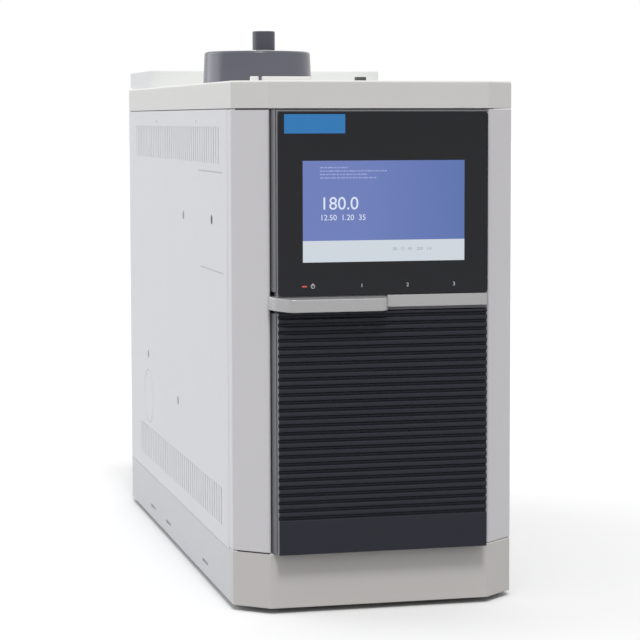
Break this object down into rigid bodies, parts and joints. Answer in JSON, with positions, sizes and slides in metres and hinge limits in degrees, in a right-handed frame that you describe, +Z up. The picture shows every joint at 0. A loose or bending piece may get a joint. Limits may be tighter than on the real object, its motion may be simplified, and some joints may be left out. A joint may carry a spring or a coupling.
{
  "type": "gas chromatograph",
  "caption": "Narrow bench gas chromatograph with a lift-up display, a ribbed swing door, a round inlet shroud and a hinged detector cover.",
  "frame": {"origin": "on the bench under the middle of the outer box", "axes": "+Z up, -Y out of the display and door, +X to the right of someone facing the front"},
  "size_m": [0.27, 0.69, 0.5453],
  "materials": {
    "panel_grey": "fine satin powder coat",
    "cover_grey": "satin moulded, fine texture",
    "lid_white": "satin moulded",
    "shroud_slate": "satin moulded, slate grey",
    "dark_anodised": "dark anodised, knurled",
    "housing_grey": "satin moulded, mid grey",
    "black_window": "polished black window",
    "door_charcoal": "satin moulded, charcoal",
    "silver_rail": "silver grey satin paint",
    "black_rubber": "moulded rubber",
    "zinc_steel": "zinc plated sheet",
    "stainless": "turned stainless steel",
    "aluminium": "machined aluminium",
    "brass": "turned brass",
    "board_green": "solder mask over glass laminate",
    "black_plastic": "moulded, fine texture",
    "lcd_grey": "display module"
  },
  "bodies": {
    "chassis": {"base_front": "cover_grey", "base_pan": "panel_grey", "bus_block": "aluminium", "clamp_studs": "stainless", "column_heater": "aluminium", "column_module": "black_plastic", "detector_shelf": "zinc_steel", "display_hinge_arms": "zinc_steel", "door_catch": "zinc_steel", "door_hinge_arms": "zinc_steel", "epc_manifold": "aluminium", "epc_modules": "black_plastic", "fan_frames": "black_plastic", "feet": "black_rubber", "fid_body": "aluminium", "fid_collector": "stainless", "flow_chips": "stainless", "front_frame": "zinc_steel", "front_pillar_left": "panel_grey", "front_pillar_right": "panel_grey", "gas_fittings": "brass", "gas_lines": "stainless", "guard_chip": "aluminium", "igniter": "stainless", "inlet_body": "stainless", "inlet_bracket": "zinc_steel", "inlet_line": "stainless", "inlet_shroud": "shroud_slate", "left_side_panel": "panel_grey", "lid_brackets": "zinc_steel", "lid_hinge_pins": "stainless", "main_board": "board_green", "mid_bulkhead": "zinc_steel", "network_ports": "black_plastic", "power_inlet": "black_plastic", "power_supply": "zinc_steel", "rear_bulkhead": "zinc_steel", "rear_panel": "panel_grey", "right_side_panel": "panel_grey", "top_cover": "cover_grey", "top_guide_strip": "cover_grey", "top_stop": "black_rubber"},
    "display_unit": {"display_housing": "housing_grey", "display_glass": "black_window", "lcd_panel": "lcd_grey", "display_board": "board_green", "handle_bar": "silver_rail", "trim_strip": "silver_rail", "display_hinge_pins": "stainless"},
    "front_door": {"door_shell": "door_charcoal", "door_liner": "housing_grey", "door_hinge_pins": "stainless", "door_magnet": "stainless"},
    "detector_lid": {"detector_cover": "lid_white"},
    "inlet_nut": {"septum_nut": "dark_anodised"},
    "left_knob": {"clamp_knob_left": "black_plastic"},
    "right_knob": {"clamp_knob_right": "black_plastic"},
    "switch_rocker": {"power_rocker": "black_plastic"},
    "left_fan": {"fan_rotor_left": "black_plastic"},
    "right_fan": {"fan_rotor_right": "black_plastic"}
  },
  "joints": [
    {"name": "display_lift", "type": "hinge", "parent": "chassis", "child": "display_unit", "pos_m": [0, -0.3235, 0.4565], "axis": [-1, 0, 0], "range_deg": [0, 90]},
    {"name": "door_swing", "type": "hinge", "parent": "chassis", "child": "front_door", "pos_m": [0.089, -0.32, 0.17], "axis": [0, 0, 1], "range_deg": [0, 100]},
    {"name": "lid_hinge", "type": "hinge", "parent": "chassis", "child": "detector_lid", "pos_m": [0, 0.328, 0.4974], "axis": [-1, 0, 0], "range_deg": [0, 90]},
    {"name": "septum_nut_turn", "type": "hinge", "parent": "chassis", "child": "inlet_nut", "pos_m": [-0.0563, -0.067, 0.53], "axis": [0, 0, 1], "range_deg": [0, 720]},
    {"name": "left_knob_turn", "type": "hinge", "parent": "chassis", "child": "left_knob", "pos_m": [-0.04, -0.29, 0.335], "axis": [0, -1, 0], "range_deg": [0, 90]},
    {"name": "right_knob_turn", "type": "hinge", "parent": "chassis", "child": "right_knob", "pos_m": [0.04, -0.29, 0.335], "axis": [0, -1, 0], "range_deg": [0, 90]},
    {"name": "power_rocker_tip", "type": "hinge", "parent": "chassis", "child": "switch_rocker", "pos_m": [-0.07, 0.328, 0.05], "axis": [-1, 0, 0], "range_deg": [0, 16]},
    {"name": "left_fan_spin", "type": "hinge", "parent": "chassis", "child": "left_fan", "pos_m": [-0.05, 0.31, 0.27], "axis": [0, 1, 0], "continuous": true},
    {"name": "right_fan_spin", "type": "hinge", "parent": "chassis", "child": "right_fan", "pos_m": [0.05, 0.31, 0.27], "axis": [0, 1, 0], "continuous": true}
  ]
}
